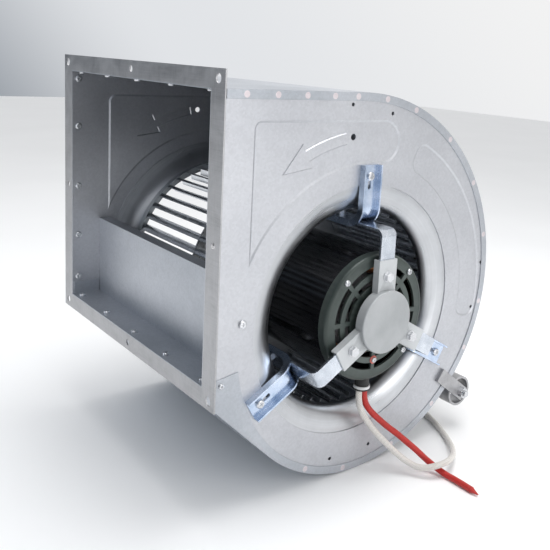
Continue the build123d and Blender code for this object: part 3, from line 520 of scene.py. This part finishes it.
def add_leads(red, white, nylon):
    red_line = nurbs_line("red_line", RED_ROUTE)
    white_line = nurbs_line("white_line", WHITE_ROUTE + coil_points() + COIL_TAIL)
    red_tube = tube_along("red_sleeve", red_line, sleeve_radius, red)
    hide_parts("red_lead")
    end = red_line[-1]
    along = (end - red_line[-2]).normalized()
    droop = Vector((0, 0, 0.0011))
    tip_line = [end + along * (step * 0.5 * MM) - droop * (step / 20) for step in range(21)]
    tip = tube_along("red_sleeve_tip", tip_line, tip_radius, red)
    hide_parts("red_lead_tip")
    white_tube = tube_along("white_sleeve", white_line, sleeve_radius, white)
    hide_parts("white_lead", "white_lead_coil")
    tie = add_coil_tie(nylon)
    terminal = add_terminal(nylon)


def rounded_loop(half_width, low, high, round_off, steps=6):
    """Closed rounded-rectangle outline in (across, up)."""
    points = []
    corners = (
        (half_width, high, 0),
        (-half_width, high, 90),
        (-half_width, low, 180),
        (half_width, low, 270))
    for x, z, start in corners:
        cx = x - round_off if x > 0 else x + round_off
        cz = z - round_off if z == high else z + round_off
        for step in range(steps + 1):
            angle = radians(start + 90 * step / steps)
            points.append((cx + round_off * cos(angle), cz + round_off * sin(angle)))
    return points


def add_coil_tie(material):
    """Band round the two turns, with a square head."""
    bm = bmesh.new()
    middle = Vector((COIL_CENTRE[0] - COIL_RADIUS, COIL_CENTRE[1])) * MM
    outer = rounded_loop(4.9 * MM, 0.1 * MM, 15.8 * MM, 3.6 * MM)
    inner = rounded_loop(4.1 * MM, 0.5 * MM, 15.1 * MM, 3.0 * MM)
    rings = []
    for y, loop in ((-1.9, outer), (1.9, outer), (1.9, inner), (-1.9, inner)):
        rings.append([bm.verts.new((middle.x + a, middle.y + y * MM, GROUND + b)) for a, b in loop])
    for first, second in zip(rings, rings[1:] + rings[:1]):
        for index in range(len(first)):
            after = (index + 1) % len(first)
            bm.faces.new((first[index], first[after], second[after], second[index]))
    head = bmesh.ops.create_cube(bm, size=1.0)["verts"]
    bmesh.ops.scale(bm, vec=(1.6 * MM, 5 * MM, 4.4 * MM), verts=head)
    bmesh.ops.translate(bm, vec=(middle.x + 5.0 * MM, middle.y, GROUND + 8 * MM), verts=head)
    piece = finish_bmesh("coil_band", bm, material)
    bevel(piece, 0.35 * MM)
    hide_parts("coil_tie")
    return piece


def add_terminal(material):
    """Clear sleeve over a push-on blade terminal, on the white lead's end."""
    low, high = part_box("white_lead_terminal")
    middle = (low + high) / 2
    size = high - low
    bm = bmesh.new()
    rings = []
    for part, grow in ((0.0, 0.72), (0.08, 0.86), (0.5, 0.92), (0.62, 1.0), (0.97, 1.0), (1.0, 0.93)):
        loop = rounded_loop(
            size.y / 2 * grow, -size.z / 2 * grow, size.z / 2 * grow, size.z * 0.3 * grow)
        x = high.x - size.x * part
        rings.append([bm.verts.new((x, middle.y + a, middle.z + b)) for a, b in loop])
    for first, second in zip(rings, rings[1:]):
        for index in range(len(first)):
            after = (index + 1) % len(first)
            bm.faces.new((first[index], first[after], second[after], second[index]))
    bm.faces.new(rings[0])
    bm.faces.new(rings[-1])
    piece = finish_bmesh("lead_terminal", bm, material)
    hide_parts("white_lead_terminal")
    return piece


def bevel(piece, width, segments=2):
    modifier = piece.modifiers.new("bevel", "BEVEL")
    modifier.width = width
    modifier.segments = segments
    modifier.limit_method = "ANGLE"
    modifier.angle_limit = radians(35)


# ---------------------------------------------------------------- seam and windings
SEAM_INSET = 4.5 * MM
WELD_RADIUS = 3.4 * MM
WELD_SIDES = 20


def seam_places():
    """(y, z) of the spot welds along the folded seam, from the flange round to the gusset."""
    inset_top = DUCT_TOP - SEAM_INSET
    places = [Vector((y * MM, inset_top)) for y in (38, 74, 110, 146, 178)]
    for centre, radius, angles in ((ARC_TOP, RADIUS_TOP, (82, 70, 52, 33, 14)),
                                   (ARC_BACK, RADIUS_BACK, (-10, -28, -52, -74)),
                                   (ARC_LOW, RADIUS_LOW, (-97, -116))):
        for angle in angles:
            spoke = Vector((cos(radians(angle)), sin(radians(angle))))
            places.append(centre + spoke * (radius - SEAM_INSET))
    return places


def add_spot_welds(material):
    """Shallow pressed spots on both folded seams: a low rim round a flat middle."""
    profile = ((1.0, 0.0), (0.86, 0.10), (0.66, 0.12), (0.45, 0.04))
    for side, name in ((1, "seam_spots_near"), (-1, "seam_spots_far")):
        bm = bmesh.new()
        face_x = side * (PLATE + 1.0 * MM)
        for y, z in seam_places():
            rings = []
            for part, height in profile:
                rings.append([bm.verts.new((face_x + side * height * MM,
                                            y + WELD_RADIUS * part * cos(2 * pi * step / WELD_SIDES),
                                            z + WELD_RADIUS * part * sin(2 * pi * step / WELD_SIDES)))
                              for step in range(WELD_SIDES)])
            for outer, inner in zip(rings, rings[1:]):
                for step in range(WELD_SIDES):
                    after = (step + 1) % WELD_SIDES
                    bm.faces.new((outer[step], outer[after], inner[after], inner[step]))
            bm.faces.new(rings[-1])
        finish_bmesh(name, bm, material)


WINDING_RADIUS = 52.0 * MM
WINDING_HALF_WIDTH = 8.6 * MM
WINDING_HALF_DEPTH = 10.6 * MM
WINDING_STRANDS = 22


def add_windings(material):
    """End turns: two fat rings of lashed copper wire."""
    low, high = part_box("stator_windings")
    middle = (low.x + high.x) / 2
    reach = (high.x - low.x) / 2 - WINDING_HALF_DEPTH - 0.4 * MM
    around, across = 288, 44
    vertices, faces = [], []
    for side in (1, -1):
        first = len(vertices)
        for i in range(around):
            turn = 2 * pi * i / around
            lashing = 1 - 0.05 * max(0.0, cos(24 * turn)) ** 6
            for j in range(across):
                angle = 2 * pi * j / across
                strand = 1 + 0.05 * abs(cos(WINDING_STRANDS * angle / 2 + 9 * turn)) - 0.05
                radius = WINDING_RADIUS + WINDING_HALF_WIDTH * lashing * strand * cos(angle)
                x = middle + side * reach + WINDING_HALF_DEPTH * lashing * strand * sin(angle)
                vertices.append((x, AXIS.y + radius * cos(turn), AXIS.z + radius * sin(turn)))
        for i in range(around):
            for j in range(across):
                a = first + i * across + j
                b = first + i * across + (j + 1) % across
                c = first + ((i + 1) % around) * across + (j + 1) % across
                d = first + ((i + 1) % around) * across + j
                faces.append((a, b, c, d) if side > 0 else (d, c, b, a))
    piece = mesh_piece("copper_end_turns", vertices, faces, material)
    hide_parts("stator_windings")


# ---------------------------------------------------------------- stage and light
def add_floor(material):
    size = 6.0
    middle = AXIS
    corners = [(middle.x - size, middle.y - size), (middle.x + size, middle.y - size),
               (middle.x + size, middle.y + size), (middle.x - size, middle.y + size)]
    mesh = bpy.data.meshes.new("floor")
    mesh.from_pydata([(x, y, GROUND - 0.0002) for x, y in corners], [], [(0, 1, 2, 3)])
    mesh.materials.append(material)
    floor = new_object("floor", mesh)


def add_softbox(name, place, target, size, power, tint=(1, 1, 1)):
    data = bpy.data.lights.new(name, "AREA")
    data.shape = "RECTANGLE"
    data.size, data.size_y = size
    data.energy = power
    data.color = tint
    light = bpy.data.objects.new(name, data)
    light.location = place
    light.rotation_euler = (Vector(target) - Vector(place)).to_track_quat("-Z", "Y").to_euler()
    bpy.context.scene.collection.objects.link(light)


def add_light():
    """A pale room, dim and cool on the outlet's side, and three softboxes."""
    world = bpy.data.worlds.new("studio")
    world.use_nodes = True
    tree = world.node_tree
    background = tree.nodes["Background"]
    direction = tree.nodes.new("ShaderNodeTexCoord").outputs["Generated"]
    lean = tree.nodes.new("ShaderNodeVectorMath")
    lean.operation = "DOT_PRODUCT"
    lean.inputs[1].default_value = (0.25, 0.75, 0.6)
    tree.links.new(direction, lean.inputs[0])
    ramp = tree.nodes.new("ShaderNodeValToRGB")
    ramp.color_ramp.interpolation = "EASE"
    stops = [
        (0.0, (0.04, 0.05, 0.065)),
        (0.40, (0.17, 0.205, 0.25)),
        (0.57, (0.84, 0.86, 0.89)),
        (0.8, grey(1.0))]
    while len(ramp.color_ramp.elements) < len(stops):
        ramp.color_ramp.elements.new(0.5)
    for element, (position, colour) in zip(ramp.color_ramp.elements, stops):
        element.position = position
        element.color = (*colour, 1)
    fraction = tree.nodes.new("ShaderNodeMapRange")
    fraction.inputs["From Min"].default_value = -1.0
    fraction.inputs["From Max"].default_value = 1.0
    tree.links.new(lean.outputs["Value"], fraction.inputs["Value"])
    tree.links.new(fraction.outputs["Result"], ramp.inputs["Fac"])
    tree.links.new(ramp.outputs["Color"], background.inputs["Color"])
    background.inputs["Strength"].default_value = 0.9
    bpy.context.scene.world = world
    target = (0.1, 0.15, -0.05)
    add_softbox("overhead", (0.2, 0.3, 1.6), target, (1.1, 1.1), 20)
    add_softbox("right_side", (1.6, 0.55, 0.25), target, (0.35, 1.3), 4.5)
    add_softbox("front_left", (-0.3, -1.7, 0.6), target, (0.35, 0.9), 6, (0.86, 0.93, 1.0))


# ---------------------------------------------------------------- finishes
def paint(material, *names):
    """Give a CAD node its finish."""
    for name in names:
        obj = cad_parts[name]
        obj.data.materials.clear()
        obj.data.materials.append(material)


def side_by_side(stem, *ends):
    return [stem + "_" + end for end in ends]


def paint_everything(nylon):
    sheet = sheet_material("galvanised_sheet", (0.50, 0.51, 0.54), (0.60, 0.61, 0.64))
    paint(sheet, *side_by_side("side_plate", "near", "far"))
    # darker, bluer copy of the side plates' galvanised sheet: painted shade for the outlet's shaded
    # interior, also laid on the wrapper's outside and the gussets
    paint(sheet_material("scroll_sheet_painted_shade", (0.40, 0.425, 0.46), (0.56, 0.58, 0.62), grain=0.3),
          "scroll_wrapper", "scroll_lips", "outlet_floor", "cutoff_plate",
          *side_by_side("corner_gusset", "near", "far"))
    paint(flange_material(), *side_by_side("flange", "side_near", "side_far", "top", "bottom"),
          *side_by_side("tie_lug", "near", "far"))
    paint(spun_material("spun_bell", (0.46, 0.475, 0.50), (0.60, 0.615, 0.64), (0.26, 0.36)),
          *side_by_side("inlet_bell", "near", "far"))
    blades = plated_material(
        "blade_steel", (0.48, 0.50, 0.53), (0.64, 0.66, 0.69), stretch=(14, 420, 420))
    paint(blades, *side_by_side("blades", "near", "far"))
    paint(spun_material("wheel_sheet", (0.46, 0.48, 0.50), (0.60, 0.62, 0.64), (0.26, 0.38)),
          "wheel_disc", "wheel_hub", *side_by_side("wheel_ring", "near", "far"))
    steel = plated_material("ground_steel", (0.60, 0.60, 0.61), (0.74, 0.74, 0.75), (0.18, 0.3))
    paint(steel, "motor_shaft", "bearing_inner_rings", "bearing_outer_rings")
    zinc = plated_material("zinc_fasteners", (0.55, 0.56, 0.58), (0.74, 0.75, 0.77), (0.22, 0.38))
    paint(zinc, "flange_screws", "plate_screws", "bracket_screws", "support_bolts", "support_nuts",
          "tie_nuts", "tie_rod", "motor_through_bolts", "hub_setscrew", "earth_screw")
    bright_zinc = plated_material(
        "bright_zinc", (0.50, 0.54, 0.60), (0.70, 0.74, 0.80), (0.18, 0.3), (16, 500, 500))
    paint(bright_zinc, *side_by_side("motor_strap", "top", "front", "back"))
    blue_zinc = plated_material(
        "blue_zinc", (0.42, 0.52, 0.68), (0.66, 0.74, 0.88), (0.16, 0.28), (80, 500, 80))
    paint(blue_zinc, *side_by_side("support_bracket", "top", "front", "back"))
    paint(casting_material("spider_paint", (0.36, 0.375, 0.385), (0.46, 0.475, 0.485), metallic=0.3),
          *side_by_side("spider", "rear", "front"))
    grey_green = casting_material(
        "end_bell_paint", (0.030, 0.042, 0.038), (0.055, 0.070, 0.064), (0.30, 0.46))
    paint(grey_green, *side_by_side("end_bell", "rear", "front"))
    paint(enamel_material(), "motor_shell")
    laminations = lamination_material()
    paint(laminations, "rotor_core", "stator_core")
    add_windings(copper_material())
    add_spot_welds(sheet_material(
        "spot_weld_steel", (0.62, 0.56, 0.58), (0.78, 0.72, 0.74), rough=(0.3, 0.5), waves=0.5))
    rubber = rubber_material("black_rubber", grey(0.012), grey(0.025))
    paint(rubber, "lead_gland", *side_by_side("rubber_ring", "rear", "front"))
    paint(nylon, "gland_collar")
    paint(rubber_material("earth_washer_red", (0.55, 0.10, 0.08), (0.72, 0.22, 0.18)), "earth_washer")


# ---------------------------------------------------------------- build
add_camera()
add_light()
add_floor(floor_material())
nylon = rubber_material("pale_nylon", grey(0.62), grey(0.74))
red_sleeve = sleeve_material(
    "red_sleeve_weave", (0.28, 0.006, 0.004), (0.60, 0.020, 0.012), 0.34, 0.0, (0.34, 0.012, 0.008))
white_sleeve = sleeve_material(
    "white_sleeve_weave", (0.42, 0.39, 0.36), (0.84, 0.81, 0.77), 0.6, 0.4, (0.58, 0.50, 0.43))
add_leads(red_sleeve, white_sleeve, nylon)
paint_everything(nylon)
